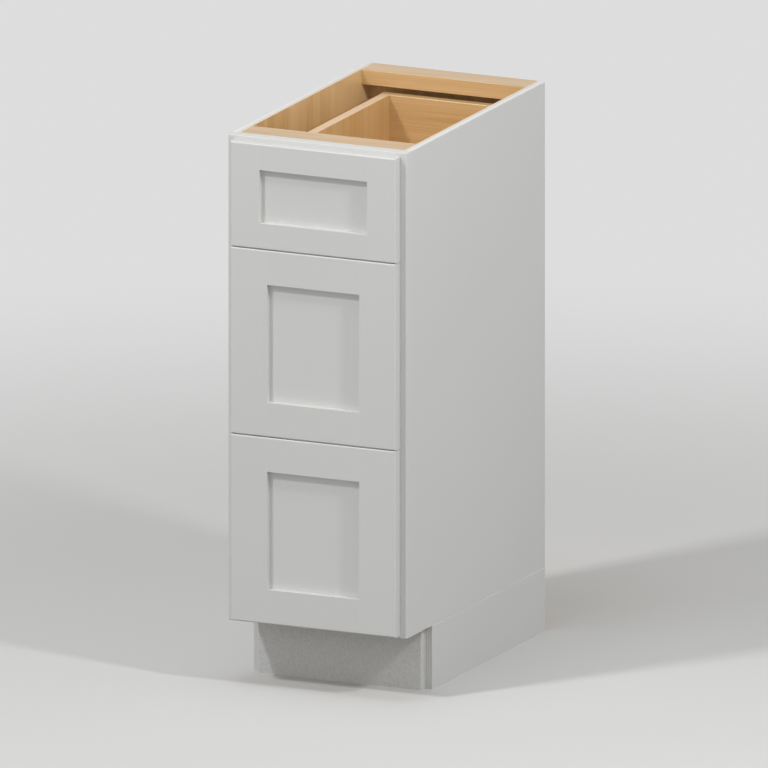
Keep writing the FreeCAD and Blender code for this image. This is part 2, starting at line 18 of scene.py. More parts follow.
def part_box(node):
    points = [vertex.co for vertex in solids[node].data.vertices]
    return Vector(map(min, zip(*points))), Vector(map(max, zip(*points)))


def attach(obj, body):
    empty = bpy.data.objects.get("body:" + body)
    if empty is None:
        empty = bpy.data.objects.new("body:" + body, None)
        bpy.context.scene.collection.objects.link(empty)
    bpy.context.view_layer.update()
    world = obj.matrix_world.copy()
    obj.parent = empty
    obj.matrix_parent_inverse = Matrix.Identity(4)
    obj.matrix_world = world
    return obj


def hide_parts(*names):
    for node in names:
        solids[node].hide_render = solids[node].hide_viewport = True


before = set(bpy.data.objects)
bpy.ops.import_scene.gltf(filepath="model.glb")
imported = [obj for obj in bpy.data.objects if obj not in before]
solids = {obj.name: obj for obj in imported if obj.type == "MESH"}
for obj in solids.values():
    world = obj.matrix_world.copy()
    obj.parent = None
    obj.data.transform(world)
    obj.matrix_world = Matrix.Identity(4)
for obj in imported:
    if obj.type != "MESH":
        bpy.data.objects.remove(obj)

for leftover in ("Cube", "Light", "Camera"):
    if leftover in bpy.data.objects:
        bpy.data.objects.remove(bpy.data.objects[leftover])
bpy.context.view_layer.update()

# %% [markdown]
# ## The camera
#
# The cabinet's upright edges stay parallel in the picture and its far edges are as long as its near
# ones, so the view is a parallel projection. An orthographic camera does that exactly. Three unit
# vectors say where it stands: right, up and back. One known corner of the cabinet is tied to the
# place where it shows in the picture, and the rest follows from the scale.

# %% Set up the camera
picture_side = 768
pixels_per_metre = 645.47
turn = math.radians(24.62)
tilt = math.radians(13.80)
view_right = Vector((math.cos(turn), math.sin(turn), 0.0))
view_back = Vector((math.sin(turn) * math.cos(tilt), -math.cos(turn) * math.cos(tilt), math.sin(tilt)))
view_up = view_back.cross(view_right)
stile_low, stile_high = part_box("frame_stile_left")
tied_corner = Vector((stile_low[0], stile_low[1], stile_high[2]))
tied_column = 228.0
tied_row = 134.04
camera_distance = 5.0
middle = tied_corner
middle = middle + view_right * ((picture_side / 2 - tied_column) / pixels_per_metre)
middle = middle - view_up * ((picture_side / 2 - tied_row) / pixels_per_metre)

camera_data = bpy.data.cameras.new("view")
camera_data.type = "ORTHO"
camera_data.ortho_scale = picture_side / pixels_per_metre
camera_data.clip_start = 0.1
camera_data.clip_end = 60.0
camera = bpy.data.objects.new("view", camera_data)
bpy.context.scene.collection.objects.link(camera)
placing = Matrix((view_right, view_up, view_back)).transposed().to_4x4()
placing.translation = middle + view_back * camera_distance
camera.matrix_world = placing
bpy.context.scene.camera = camera
print("camera covers", round(camera_data.ortho_scale, 4), "m")

# %% [markdown]
# ## A bench for building materials
#
# A material in Blender is a graph of nodes. Written out by hand, a wood grain takes forty lines that
# all look alike. A small class keeps it short: each method adds one node, feeds it plain numbers or
# the outputs of other nodes, and hands back its own output. Every pattern starts from Object
# coordinates, which are metres in the cabinet's own frame, so a pattern keeps its real size.

# %% The bench
class Bench:
    """One material being built. A method adds a node and returns the socket it makes."""

    def __init__(self, name):
        self.material = bpy.data.materials.new(name)
        self.material.use_nodes = True
        self.tree = self.material.node_tree
        self.shader = self.tree.nodes["Principled BSDF"]
        source = self.add("ShaderNodeTexCoord")
        self.place = source.outputs["Object"]
        self.facing = source.outputs["Normal"]

    def add(self, kind, **settings):
        """A new node of this kind, with its settings written into it."""
        node = self.tree.nodes.new(kind)
        for setting, value in settings.items():
            setattr(node, setting, value)
        return node

    def feed(self, socket, value):
        """Links an output, or writes a plain value into the socket."""
        if isinstance(value, bpy.types.NodeSocket):
            self.tree.links.new(value, socket)
        else:
            socket.default_value = value

    def math(self, operation, *values):
        """One step of arithmetic on numbers. MULTIPLY_ADD is the first times the second plus the third."""
        node = self.add("ShaderNodeMath", operation=operation)
        for socket, value in zip(node.inputs, values):
            self.feed(socket, value)
        return node.outputs[0]

    def vector(self, operation, *values):
        """The same step on each of the three parts of a vector."""
        node = self.add("ShaderNodeVectorMath", operation=operation)
        for socket, value in zip(node.inputs, values):
            self.feed(socket, value)
        return node.outputs[0]

    def parts(self, value):
        """The x, y and z of a vector."""
        node = self.add("ShaderNodeSeparateXYZ")
        self.feed(node.inputs[0], value)
        return list(node.outputs)

    def noise(self, where, scale=1.0, detail=2.0, roughness=0.5):
        """A smooth random pattern around one half, with scale blobs to each unit of where."""
        node = self.add("ShaderNodeTexNoise")
        self.feed(node.inputs["Vector"], where)
        node.inputs["Scale"].default_value = scale
        node.inputs["Detail"].default_value = detail
        node.inputs["Roughness"].default_value = roughness
        return node.outputs[0]

    def ease(self, value, low, high, start=0.0, end=1.0):
        """A soft step: start below low, end above high, an S curve between."""
        node = self.add("ShaderNodeMapRange", interpolation_type="SMOOTHSTEP")
        for socket, plain in zip(node.inputs, (value, low, high, start, end)):
            self.feed(socket, plain)
        return node.outputs[0]

    def mix(self, share, first, second):
        """A colour between two: the first where share is 0, the second where it is 1."""
        node = self.add("ShaderNodeMix", data_type="RGBA")
        self.feed(node.inputs[0], share)
        for socket, colour in ((node.inputs[6], first), (node.inputs[7], second)):
            self.feed(socket, (*colour, 1.0) if isinstance(colour, tuple) else colour)
        return node.outputs[2]

    def between(self, share, first, second):
        """A number between two, by the same rule as mix."""
        rise = self.math("SUBTRACT", second, first)
        return self.math("MULTIPLY_ADD", rise, share, first)

    def stretched(self, where, across, along, grain, shift=0.0):
        """Coordinates squeezed along the grain: across and along are how often they repeat per metre.

        The shift slides them, so that the same pattern differs from piece to piece."""
        scale = [across, across, across]
        scale["xyz".index(grain)] = along
        scaled = self.vector("MULTIPLY", where, tuple(scale))
        return self.vector("ADD", scaled, (shift, 1.7 * shift, 2.3 * shift))


# %% [markdown]
# ## Satin paint
#
# The outside is sprayed with a pale grey-white satin paint, on solid wood for the frame and the
# drawer fronts and on plywood for the sides. A flat colour would look like plastic. Real sprayed paint
# has a soft orange peel a millimetre or two across, the grain telegraphs through it very faintly, the
# film runs thin on the edges, and its gloss is a little uneven. The thin paint on the edges is also
# made paler than the rest, which is a painted highlight along the edges. Each of these is one noise,
# and the heights are given in metres, so the bump has its true size.

# %% Paint
paint_colour = (0.700, 0.700, 0.686)
paint_shade = (0.672, 0.673, 0.660)
thin_paint_highlight = (0.735, 0.728, 0.703)
thin_paint_highlight_reach = 0.0016
peel_height = 5.0e-6
fibre_height = 5.0e-6
speck_depth = 4.0e-5
paint_roughness = 0.42


def edge_nearness(bench, low, high, reach):
    """How near a point is to an edge of its box, from 0 at reach to 1 on the edge.

    On each axis the depth below the surface is measured. On an edge two of the three are nothing, so
    the middle one of the three says how far away the nearest edge is."""
    centre = [(a + b) / 2 for a, b in zip(low, high)]
    half = [(b - a) / 2 for a, b in zip(low, high)]
    offset = bench.vector("ABSOLUTE", bench.vector("SUBTRACT", bench.place, tuple(centre)))
    first, second, third = bench.parts(bench.vector("SUBTRACT", offset, tuple(half)))
    lesser = bench.math("MINIMUM", first, second)
    greater = bench.math("MAXIMUM", first, second)
    median = bench.math("MAXIMUM", lesser, bench.math("MINIMUM", greater, third))
    return bench.ease(median, -reach, -0.2 * reach)


def paint(bench, grain, low, high, seed, speckle=0.0):
    """Colour, roughness and height in metres of the painted surface.

    Colour: paint and its shade by a slow cloud, then paler thin paint where an edge is near and a noise
    is high, which is worn film and a painted highlight in one. Height: orange peel plus fibres. A speckle
    adds small dark pits by one more noise."""
    cloud = bench.noise(bench.stretched(bench.place, 3.0, 2.0, grain, seed), detail=3.0)
    peel = bench.noise(bench.place, scale=520.0, detail=1.0)
    fibre = bench.noise(bench.stretched(bench.place, 620.0, 14.0, grain, seed), detail=3.0)
    colour = bench.mix(cloud, paint_colour, paint_shade)
    edge = edge_nearness(bench, low, high, thin_paint_highlight_reach)
    wear_and_highlight = bench.ease(bench.noise(bench.place, scale=140.0, detail=3.0), 0.35, 0.70, 0.15, 0.75)
    # Paler thin paint near the edges: worn film, and a painted highlight along the edges.
    colour = bench.mix(bench.math("MULTIPLY", edge, wear_and_highlight), colour, thin_paint_highlight)
    height = bench.math("MULTIPLY", peel, peel_height)
    height = bench.math("MULTIPLY_ADD", fibre, fibre_height, height)
    if speckle:
        speck = bench.noise(bench.stretched(bench.place, 420.0, 260.0, grain, seed), detail=2.0)
        dark = tuple(c * (1.0 - speckle) for c in paint_shade)
        colour = bench.mix(bench.ease(speck, 0.38, 0.66), colour, dark)
        height = bench.math("MULTIPLY_ADD", speck, -speck_depth, height)
    gloss = bench.math("MULTIPLY_ADD", cloud, 0.10, paint_roughness)
    gloss = bench.math("MULTIPLY_ADD", fibre, 0.05, gloss)
    return {"colour": colour, "roughness": gloss, "height": height}


# %% [markdown]
# ## Maple, solid and in sheets
#
# The drawer boxes and the rails behind the frame are solid maple under clear lacquer. A board is a
# slice of a trunk, so its rings are worked out as they grew: the distance from a pith line that runs
# beside the board, wobbling a little, cut into rings a few millimetres apart. The same rule then
# gives straight lines on one face, arches on another and arcs on the end, with no seam between them.
# The veneer on plywood is peeled off a turning log, so its figure is wide and drifting instead. Bands
# a few centimetres wide, fine fibres, a slow change of tone and dark end grain go over both, and a thin
# clear coat over all of it picks up the sky on faces that are seen at a slant.

# %% Maple
maple_light = (0.720, 0.494, 0.254)
maple_dark = (0.545, 0.328, 0.122)
maple_end = (0.420, 0.245, 0.105)
painted_highlight_edge = (0.860, 0.630, 0.420)
pale_veneer_painted_light = (0.800, 0.560, 0.290)
ring_width = 0.0034
band_share = {"board": 0.80, "sheet": 1.15}
tone_share = 0.75
late_wood_share = 0.14
streak_share = 0.52
fibre_share = 0.16
shade_range = (0.36, 1.16)
fibre_relief = 1.2e-5
streak_relief = 2.0e-5
lacquer_roughness = 0.36
lacquer_coat = 0.6


def along_grain(grain, x, y, z):
    """The three coordinates in the order: across, across, along the grain."""
    return {"x": (y, z, x), "y": (z, x, y), "z": (x, y, z)}[grain]


def rings_of_board(bench, grain, low, high, seed):
    """0 to 1 through each ring: the fractional part of the distance from the pith, in ring widths.

    The pith line runs along the grain, some centimetres off the board's wide face. It leans a little,
    and a slow noise is added to the distance. The seed sets the place and the lean."""
    centre = [(a + b) / 2 for a, b in zip(low, high)]
    sizes = along_grain(grain, *[b - a for a, b in zip(low, high)])
    thin = 0 if sizes[0] < sizes[1] else 1
    pith = [0.020 * math.sin(7.0 * seed), 0.020 * math.cos(5.0 * seed)]
    pith[thin] = 0.034 + 0.012 * math.sin(3.0 * seed)
    local = bench.vector("SUBTRACT", bench.place, tuple(centre))
    first, second, length = along_grain(grain, *bench.parts(local))
    wobble = bench.noise(bench.stretched(bench.place, 8.0, 1.4, grain, seed), detail=2.0)
    lean = (0.016 * math.sin(4.0 * seed), 0.020 * math.cos(6.0 * seed))
    first = bench.math("ADD", bench.math("MULTIPLY_ADD", length, lean[0], first), pith[0])
    second = bench.math("ADD", bench.math("MULTIPLY_ADD", length, lean[1], second), pith[1])
    squares = bench.math("ADD", bench.math("MULTIPLY", first, first), bench.math("MULTIPLY", second, second))
    radius = bench.math("MULTIPLY_ADD", wobble, 0.016, bench.math("SQRT", squares))
    return bench.math("FRACT", bench.math("MULTIPLY", radius, 1.0 / ring_width))


def rings_of_veneer(bench, grain, seed):
    """0 to 1 through each band: contour lines of a slow noise that is drawn out along the grain."""
    drift = bench.noise(bench.stretched(bench.place, 3.4, 0.42, grain, seed), detail=2.0, roughness=0.4)
    return bench.math("FRACT", bench.math("MULTIPLY", drift, 24.0))


def maple(bench, grain, low, high, seed, sheet=False, end_tone=0.62, end_colour=maple_end):
    """Colour, roughness, height and coat of lacquered maple.

    The shade is a weighted sum of late wood, tone, streaks and fibres, and it blends light maple into
    dark. Late wood rises slowly through each ring and ends at once. Bands add to the slow tone, more
    in a sheet than in a board. On faces that point along the grain the colour moves towards end_colour
    by end_tone."""
    ring = rings_of_veneer(bench, grain, seed) if sheet else rings_of_board(bench, grain, low, high, seed)
    late = bench.math("MULTIPLY", bench.ease(ring, 0.30, 0.90), bench.ease(ring, 0.92, 1.0, 1.0, 0.0))
    tone = bench.noise(bench.stretched(bench.place, 11.0, 1.2, grain, seed), detail=2.0)
    streak = bench.noise(bench.stretched(bench.place, 150.0, 3.0, grain, seed), detail=3.0, roughness=0.6)
    fibre = bench.noise(bench.stretched(bench.place, 1100.0, 30.0, grain, seed), detail=2.0)
    band = bench.noise(bench.stretched(bench.place, 42.0, 1.6, grain, seed), detail=2.0)
    band_weight = band_share["sheet" if sheet else "board"]
    tone = bench.math("MULTIPLY_ADD", bench.math("SUBTRACT", band, 0.5), band_weight, tone)
    shade = bench.math("MULTIPLY_ADD", late, late_wood_share, bench.math("MULTIPLY", tone, tone_share))
    shade = bench.math("MULTIPLY_ADD", streak, streak_share, shade)
    shade = bench.math("MULTIPLY_ADD", fibre, fibre_share, shade)
    colour = bench.mix(bench.ease(shade, *shade_range), maple_light, maple_dark)
    turned = bench.parts(bench.vector("ABSOLUTE", bench.facing))["xyz".index(grain)]
    end = bench.ease(turned, 0.55, 0.85)
    colour = bench.mix(bench.math("MULTIPLY", end, end_tone), colour, end_colour)
    height = bench.math("MULTIPLY", fibre, fibre_relief)
    height = bench.math("MULTIPLY_ADD", streak, streak_relief, height)
    gloss = bench.math("MULTIPLY_ADD", end, 0.18, lacquer_roughness)
    gloss = bench.math("MULTIPLY_ADD", streak, 0.12, gloss)
    return {"colour": colour, "roughness": gloss, "height": height, "coat": lacquer_coat}


# %% [markdown]
# ## The cut edge of plywood
#
# Where a sheet is cut its plies show: thin bands that run with the grain and against it in turn, with
# a dark glue line between. The distance through the sheet, counted in plies, gives both. Paint over
# such an edge hides the colour but not the ridges, so the same count also makes a height.

# %% Plywood edges
ply_light = (0.560, 0.372, 0.200)
ply_dark = (0.352, 0.212, 0.104)
glue_dark = (0.200, 0.118, 0.062)
open_ply = (0.420, 0.412, 0.392)
ply_step = 0.0018
grit_relief = 4.0e-5
dark_ply_depth = 5.0e-5
painted_ridge_depth = 1.4e-4


def plies(bench, through, start):
    """Which ply a point is in, as 0 for a light one and 1 for a dark one, and how near a glue line is."""
    depth = bench.math("SUBTRACT", bench.parts(bench.place)["xyz".index(through)], start)
    count = bench.math("DIVIDE", depth, ply_step)
    pair = bench.math("FRACT", bench.math("MULTIPLY", count, 0.5))
    dark = bench.math("MULTIPLY", bench.ease(pair, 0.46, 0.54), bench.ease(pair, 0.96, 1.0, 1.0, 0.0))
    within = bench.math("ABSOLUTE", bench.math("SUBTRACT", bench.math("FRACT", count), 0.5))
    return dark, bench.ease(within, 0.40, 0.49)


def ply_edge(bench, through, start):
    """Colour, roughness and height of a bare cut edge: plies, grit over them and darker glue lines."""
    dark, glue = plies(bench, through, start)
    grit = bench.noise(bench.place, scale=900.0, detail=3.0)
    smear = bench.noise(bench.place, scale=70.0, detail=2.0)
    colour = bench.mix(dark, ply_light, ply_dark)
    colour = bench.mix(bench.math("MULTIPLY", grit, 0.45), colour, maple_dark)
    colour = bench.mix(bench.math("MULTIPLY", glue, 0.75), colour, glue_dark)
    height = bench.math("MULTIPLY", dark, -dark_ply_depth)
    height = bench.math("MULTIPLY_ADD", grit, grit_relief, height)
    gloss = bench.math("MULTIPLY_ADD", smear, 0.15, 0.60)
    return {"colour": colour, "roughness": gloss, "height": height}


def painted_ply_edge(bench, through, start, coat):
    """Paint over a cut edge: thinner and greyer over the open plies, which show through as ridges."""
    dark, glue = plies(bench, through, start)
    ridge = bench.math("MAXIMUM", bench.math("MULTIPLY", dark, 0.55), glue)
    colour = bench.mix(bench.math("MULTIPLY", ridge, 0.62), coat["colour"], open_ply)
    height = bench.math("MULTIPLY_ADD", ridge, -painted_ridge_depth, coat["height"])
    return {"colour": colour, "roughness": coat["roughness"], "height": height}


# %% [markdown]
# ## One piece, several surfaces
#
# A side panel is painted outside, natural inside and layered along its rear edge, yet it is one
# piece of plywood. Rather than cut it up, its material picks the surface by place: each surface is
# worked out everywhere, and a mask made from the coordinates or from the way the face points
# chooses between them.

# %% Choosing a surface by place
just_inside = 0.0001


def choose(bench, mask, first, second):
    """The first surface where the mask is 0 and the second where it is 1."""
    return {
        "colour": bench.mix(mask, first["colour"], second["colour"]),
        "roughness": bench.between(mask, first["roughness"], second["roughness"]),
        "height": bench.between(mask, first["height"], second["height"]),
        "coat": bench.between(mask, first.get("coat", 0.0), second.get("coat", 0.0)),
    }


def above(bench, axis, limit, flip=False):
    """1 where the coordinate is above the limit, or below it when flipped."""
    value = bench.parts(bench.place)["xyz".index(axis)]
    if flip:
        return bench.math("LESS_THAN", value, limit)
    return bench.math("GREATER_THAN", value, limit)


def edge_on(bench, through):
    """1 on the cut edges of a sheet, whose faces don't point through it."""
    turned = bench.parts(bench.vector("ABSOLUTE", bench.facing))["xyz".index(through)]
    return bench.ease(turned, 0.35, 0.65, 1.0, 0.0)


def cut_beyond(bench, axis, limit, flip=False):
    """1 on those cut edges of an upright side that lie above a limit, or below it when flipped."""
    return bench.math("MULTIPLY", above(bench, axis, limit, flip), edge_on(bench, "x"))


def looking_in(bench, sign):
    """1 on the faces of a side that look at the middle of the cabinet; sign is -1 for the left side."""
    pointing = bench.parts(bench.facing)[0]
    return bench.math("GREATER_THAN", bench.math("MULTIPLY", pointing, -sign), 0.5)


# %% From a surface to a material
coat_roughness = 0.20


def finished(bench, surface):
    """Wires a surface to the shader, with a clear coat where it has one, and returns the material."""
    bump = bench.add("ShaderNodeBump")
    bump.inputs["Strength"].default_value = 1.0
    bump.inputs["Distance"].default_value = 1.0
    bench.feed(bump.inputs["Height"], surface["height"])
    bench.feed(bench.shader.inputs["Base Color"], surface["colour"])
    bench.feed(bench.shader.inputs["Roughness"], surface["roughness"])
    bench.feed(bench.shader.inputs["Normal"], bump.outputs[0])
    bench.feed(bench.shader.inputs["Coat Weight"], surface.get("coat", 0.0))
    bench.shader.inputs["Coat Roughness"].default_value = coat_roughness
    return bench.material


def dress(name, material):
    """Gives a solid of the frame its material."""
    for place in solids[name].material_slots:
        place.material = material


def box_of(name):
    """The low and the high corner of a solid's box."""
    low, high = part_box(name)
    return tuple(low), tuple(high)


# %% [markdown]
# ## Dressing the case
#
# The face frame is painted where it shows and bare on its back. The sides carry paint, maple veneer
# that grows paler towards the rear as painted light, standing in for brighter light at the back of
# the inside, and bare plies. Along their top edges the paint wraps over the outer half and ends in an
# uneven line, and the inner half stays cream; the paint on that rim is paler than the rest, a painted
# highlight for the light that falls on the top edges. The base under them is plywood too, painted on
# its outer faces, and its front edge on the right shows the plies through the paint.

# %% The face frame
frame_back = stile_high[1] - just_inside
frame_grain = {
    "frame_stile_left": "z",
    "frame_stile_right": "z",
    "frame_top_rail": "x",
    "frame_upper_mid_rail": "x",
    "frame_lower_mid_rail": "x",
    "frame_bottom_rail": "x",
}
for number, (name, grain) in enumerate(frame_grain.items()):
    bench = Bench("paint_" + name)
    low, high = box_of(name)
    seed = 3.1 + 0.77 * number
    coat = paint(bench, grain, low, high, seed)
    bare = maple(bench, grain, low, high, seed)
    surface = choose(bench, above(bench, "y", frame_back), coat, bare)
    dress(name, finished(bench, surface))
print("frame pieces dressed:", len(frame_grain))

# %% The side panels
outer_face = 0.1524
outer_skin = 0.1500
rim_depth = 0.0005
rim_paint_highlight = (0.800, 0.800, 0.785)
rim_cream = (0.760, 0.660, 0.560)
paint_ends = (0.0062, 0.0078)
paint_wanders = 0.0030
for name, sign in (("side_panel_left", -1.0), ("side_panel_right", 1.0)):
    bench = Bench("panel_" + name)
    low, high = box_of(name)
    seed = 8.0 + sign
    coat = paint(bench, "z", low, high, seed)
    veneer = maple(bench, "z", low, high, seed, sheet=True)
    # Painted light: the veneer grows paler towards the rear, standing in for brighter light at the back of
    # the inside.
    rearward_painted_light = bench.ease(bench.parts(bench.place)[1], -0.05, 0.22, 0.0, 0.75)
    veneer["colour"] = bench.mix(rearward_painted_light, veneer["colour"], pale_veneer_painted_light)
    plied = ply_edge(bench, "x", low[0])
    inside = above(bench, "x", sign * outer_skin, flip=sign > 0)
    inside = bench.math("MULTIPLY", inside, looking_in(bench, sign))
    surface = choose(bench, inside, coat, veneer)
    wander = bench.noise(bench.stretched(bench.place, 260.0, 30.0, "y", seed), detail=2.0)
    depth_in = bench.math("MULTIPLY_ADD", bench.parts(bench.place)[0], -sign, outer_face)
    depth_in = bench.math("MULTIPLY_ADD", bench.math("SUBTRACT", wander, 0.5), paint_wanders, depth_in)
    # The rim's outer half gets paint paler than the rest, a painted highlight on the top edges; its inner
    # half stays cream.
    rim_colour = bench.mix(bench.ease(depth_in, *paint_ends), rim_paint_highlight, rim_cream)
    rim = {"colour": rim_colour, "roughness": 0.40, "height": coat["height"]}
    surface = choose(bench, cut_beyond(bench, "z", high[2] - rim_depth), surface, rim)
    rear = cut_beyond(bench, "y", high[1] - just_inside)
    under = cut_beyond(bench, "z", low[2] + just_inside, flip=True)
    surface = choose(bench, bench.math("MAXIMUM", rear, under), surface, plied)
    dress(name, finished(bench, surface))
    print(name, "thickness in mm:", round(1000 * (high[0] - low[0]), 1))

# %% The plinth
front_depth = 0.0006
for name, sign in (("plinth_side_left", -1.0), ("plinth_side_right", 1.0)):
    bench = Bench("panel_" + name)
    low, high = box_of(name)
    seed = 12.0 + sign
    coat = paint(bench, "y", low, high, seed)
    veneer = maple(bench, "y", low, high, seed, sheet=True)
    ridged = painted_ply_edge(bench, "x", low[0], coat) if sign > 0 else coat
    plied = ply_edge(bench, "x", low[0])
    surface = choose(bench, looking_in(bench, sign), coat, veneer)
    surface = choose(bench, cut_beyond(bench, "y", low[1] + front_depth, flip=True), surface, ridged)
    surface = choose(bench, cut_beyond(bench, "y", low[1] + front_depth), surface, plied)
    dress(name, finished(bench, surface))

bench = Bench("paint_toe_board")
low, high = box_of("toe_board")
coat = paint(bench, "z", low, high, 15.0, speckle=0.08)
veneer = maple(bench, "z", low, high, 15.0, sheet=True)
behind = above(bench, "y", high[1] - just_inside)
dress("toe_board", finished(bench, choose(bench, behind, coat, veneer)))
print("toe board height in mm:", round(1000 * (high[2] - low[2]), 1))

# %% [markdown]
# ## Drawer fronts
#
# Each front is five pieces: two stiles, two rails between them and a flat panel let in from behind.
# They are painted all round. Only the direction in which the grain shows through the paint differs,
# upright on the stiles and the panel and level on the rails.

# %% The drawer fronts
front_grain = {
    "front_stile_left": "z",
    "front_stile_right": "z",
    "front_top_rail": "x",
    "front_bottom_rail": "x",
    "front_panel": "z",
}
drawers = ("top_drawer", "middle_drawer", "bottom_drawer")
for row, drawer in enumerate(drawers):
    for column, (part, grain) in enumerate(front_grain.items()):
        name = drawer + "_" + part
        bench = Bench("paint_" + name)
        coat = paint(bench, grain, *box_of(name), seed=20.0 + 5.3 * row + 1.1 * column)
        dress(name, finished(bench, coat))
print("front pieces dressed:", len(drawers) * len(front_grain))

# %% [markdown]
# ## Natural wood pieces
#
# The rest of the wood is bare under lacquer. Each board gets its own pith line from its own box and
# a number of its own, so no two look cut from one picture. The drawer sides have upright grain, and
# their top and bottom edges are made paler than the wood, a painted highlight for the light that
# falls on their top edges. Sheets get the veneer and, on their cut edges, the plies.

# %% Boards
board_grain = {
    "front_stretcher": "x",
    "back_stretcher": "x",
    "slide_spacers": "y",
    "plinth_corner_blocks": "z",
}
for drawer in drawers:
    board_grain[drawer + "_box_side_left"] = "z"
    board_grain[drawer + "_box_side_right"] = "z"
    board_grain[drawer + "_box_front"] = "x"
    board_grain[drawer + "_box_back"] = "x"
for number, (name, grain) in enumerate(board_grain.items()):
    bench = Bench("board_" + name)
    seed = 40.0 + 1.37 * number
    if "box_side" in name:
        # The drawer sides' top and bottom edges get a pale colour: a painted highlight on the top edges.
        board = maple(bench, grain, *box_of(name), seed=seed, end_tone=0.85, end_colour=painted_highlight_edge)
    else:
        board = maple(bench, grain, *box_of(name), seed=seed)
    dress(name, finished(bench, board))

# %% Sheets
sheet_layout = {
    "back_panel": ("z", "y"),
    "floor_panel": ("x", "z"),
    "plinth_front_rail": ("x", "y"),
    "plinth_rear_rail": ("x", "y"),
    "top_drawer_box_bottom": ("y", "z"),
    "middle_drawer_box_bottom": ("y", "z"),
    "bottom_drawer_box_bottom": ("y", "z"),
}
for number, (name, (grain, through)) in enumerate(sheet_layout.items()):
    bench = Bench("sheet_" + name)
    low, high = box_of(name)
    seed = 70.0 + 2.9 * number
    veneer = maple(bench, grain, low, high, seed, sheet=True)
    plied = ply_edge(bench, through, low["xyz".index(through)])
    dress(name, finished(bench, choose(bench, edge_on(bench, through), veneer, plied)))
print("boards:", len(board_grain), "sheets:", len(sheet_layout))

# %% [markdown]
# ## Zinc-plated steel
#
# The slides are rolled from sheet and plated bright, with fine lines along the direction of rolling,
# a slightly cloudy plating and small dull spots. The metal's colour and its roughness both follow
# the same clouds, which is what makes plating look plated.

# %% Steel
line_relief = 2.0e-6


def steel(name, light, dark, roughness, grain="y", scratch=1.0):
    """A plated metal: clouds over fine rolling lines, which also make the height.

    Colour: light to dark by the clouds, darker still in small spots. Roughness: the given one, plus a
    share of the clouds and of the lines. Scratch is how many times deeper the lines are."""
    bench = Bench(name)
    cloud = bench.noise(bench.stretched(bench.place, 60.0, 22.0, grain, 1.0), detail=4.0, roughness=0.6)
    line = bench.noise(bench.stretched(bench.place, 2600.0, 24.0, grain, 2.0), detail=2.0)
    spot = bench.ease(bench.noise(bench.place, scale=420.0, detail=2.0), 0.66, 0.76)
    colour = bench.mix(cloud, light, dark)
    colour = bench.mix(bench.math("MULTIPLY", spot, 0.5), colour, tuple(0.6 * c for c in dark))
    gloss = bench.math("MULTIPLY_ADD", cloud, 0.22, roughness)
    gloss = bench.math("MULTIPLY_ADD", line, 0.10, gloss)
    height = bench.math("MULTIPLY", line, line_relief * scratch)
    bench.shader.inputs["Metallic"].default_value = 1.0
    return finished(bench, {"colour": colour, "roughness": gloss, "height": height})


slide_steel = steel("slide_steel", (0.70, 0.71, 0.73), (0.54, 0.55, 0.57), 0.22)
screw_steel = steel("screw_steel", (0.66, 0.66, 0.64), (0.46, 0.46, 0.44), 0.26, grain="z", scratch=2.0)
ball_steel = steel("ball_steel", (0.78, 0.78, 0.79), (0.66, 0.66, 0.68), 0.08, scratch=0.3)
members = [name for name in solids if "slide_" in name and "member" in name]
for name in members:
    dress(name, slide_steel)
print("slide members dressed:", len(members))

# %% [markdown]
# ## Surfaces from two parameters
#
# The small pieces are all surfaces over a grid: one parameter goes along the piece and the other
# round it. The points are computed as one array. These helpers turn a grid into faces that close on
# themselves round the piece, lay copies of a shape at a list of places and make the result a mesh.

# %% Turning grids into meshes
weld_distance = 1.0e-7
sharp_from = math.radians(40.0)


def grid_faces(rows, columns):
    """Four-sided faces between neighbouring rows and columns of a grid, closed round its columns."""
    index = np.arange(rows * columns).reshape(rows, columns)
    index = np.hstack([index, index[:, :1]])
    corners = (index[:-1, :-1], index[:-1, 1:], index[1:, 1:], index[1:, :-1])
    return np.stack(corners, axis=-1).reshape(-1, 4)


def copies(points, faces, places):
    """The same shape at each of several offsets, as one list of points and one of faces."""
    places = np.asarray(places, float).reshape(-1, 1, 3)
    spread = (points[None] + places).reshape(-1, 3)
    steps = np.arange(len(places)).reshape(-1, 1, 1) * len(points)
    return spread, (faces[None] + steps).reshape(-1, 4)


def together(shapes):
    """Several shapes, each points and faces, as one."""
    points, faces, used = [], [], 0
    for some_points, some_faces in shapes:
        points.append(some_points)
        faces.append(some_faces + used)
        used += len(some_points)
    return np.vstack(points), np.vstack(faces)


def piece(name, shape, body, material, replaced=()):
    """Makes a mesh object from points and faces, closes its poles and lets it ride on a body."""
    points, faces = shape
    mesh = bpy.data.meshes.new(name)
    mesh.from_pydata(points.tolist(), [], faces.tolist())
    made = bpy.data.objects.new(name, mesh)
    bpy.context.scene.collection.objects.link(made)
    tidy_mesh(mesh)
    mesh.materials.append(material)
    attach(made, body)
    if replaced:
        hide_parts(*replaced)
    print(name, "faces:", len(mesh.polygons))


def tidy_mesh(mesh):
    """Welds the points that fall together at poles, turns the faces outwards and smooths them."""
    work = bmesh.new()
    work.from_mesh(mesh)
    bmesh.ops.remove_doubles(work, verts=work.verts, dist=weld_distance)
    bmesh.ops.recalc_face_normals(work, faces=work.faces)
    work.to_mesh(mesh)
    work.free()
    mesh.polygons.foreach_set("use_smooth", np.ones(len(mesh.polygons), bool))
    mesh.set_sharp_from_angle(angle=sharp_from)


# %% [markdown]
# ## Screws
#
# The solids hold their screws as plain turned forms, which look like stand-ins as soon as a drawer
# opens. The real screw has a low domed head with a cross recess, and a thread. It is one surface: a
# profile turned about the axis, with the cross pressed into the dome by a formula and the thread
# raised on the shank by another.

# %% The screw
head_radius = 0.0038
head_height = 0.0009
thread_crest = 0.00175
thread_core = 0.00125
thread_pitch = 0.0016
recess_depth = 0.00062
recess_side = (0.00030, 0.00055)
recess_end = (0.0015, 0.0020)


def soft_step(value, low, high):
    """0 below low, 1 above high, with an S curve between."""
    share = np.clip((value - low) / (high - low), 0.0, 1.0)
    return share * share * (3.0 - 2.0 * share)


